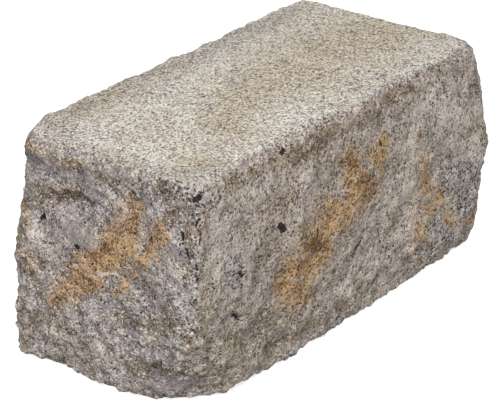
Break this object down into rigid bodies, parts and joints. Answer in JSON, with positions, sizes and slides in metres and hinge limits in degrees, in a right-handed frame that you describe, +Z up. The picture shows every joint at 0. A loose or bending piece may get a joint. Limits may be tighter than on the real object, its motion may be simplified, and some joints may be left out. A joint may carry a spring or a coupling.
{
  "type": "retaining wall block",
  "caption": "Solid split-face concrete block for a garden retaining wall, with two flat beds and worn arrises.",
  "frame": {"origin": "on the bottom bed, under the middle of the block's overall box", "axes": "+X along the block's length, +Z up from the bottom bed to the top bed, long front face towards -Y"},
  "size_m": [0.2712, 0.1352, 0.125],
  "materials": {
    "concrete": "warm grey pressed concrete, matt; fine cast beds and coarse split sides with ochre veins"
  },
  "bodies": {
    "root": {"wall_block": "concrete"}
  },
  "joints": []
}
